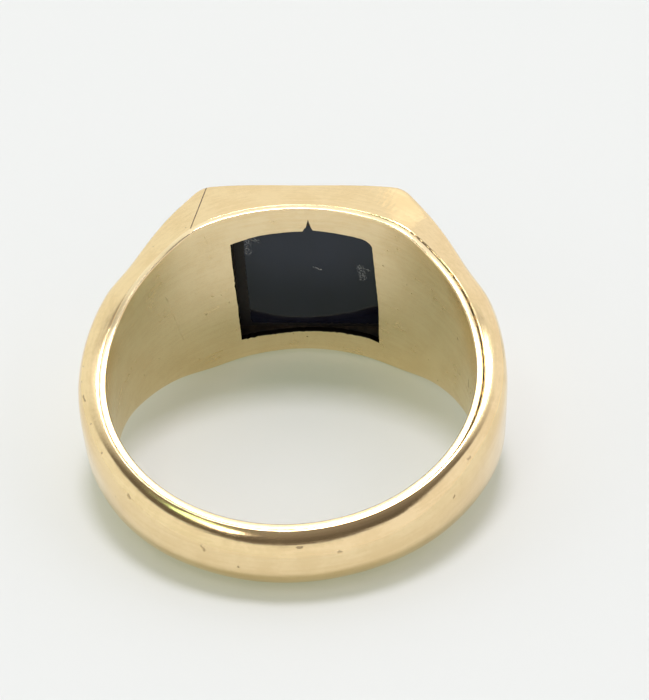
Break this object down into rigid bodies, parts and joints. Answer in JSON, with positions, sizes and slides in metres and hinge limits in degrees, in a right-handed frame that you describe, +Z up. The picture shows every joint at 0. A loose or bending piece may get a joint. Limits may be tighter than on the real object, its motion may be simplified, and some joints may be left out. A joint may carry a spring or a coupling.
{
  "type": "signet ring",
  "caption": "Men's signet ring: hollow gold band with a rectangular head, lined finger hole with a window, and a flat black onyx tablet.",
  "frame": {"origin": "centre of the bounding box's footprint, on the surface the ring lies on", "axes": "+Z up, +Y from the shank towards the head, +X across the finger; the finger axis leans 11.3 degrees back from +Z because the wide head rests on its side edge"},
  "size_m": [0.0232, 0.0246, 0.0115],
  "materials": {
    "gold_shell": null,
    "gold_liner": null,
    "solder": null,
    "onyx": "flat polished black onyx",
    "setting_cement": "dark setting cement"
  },
  "bodies": {
    "root": {"shank_shell": "gold_shell", "head_frame": "gold_shell", "inner_liner": "gold_liner", "stone_collet": "gold_shell", "bearing_ledge": "gold_liner", "setting_cement": "setting_cement", "onyx_tablet": "onyx", "solder_seam_left": "solder", "solder_seam_right": "solder"}
  },
  "joints": []
}
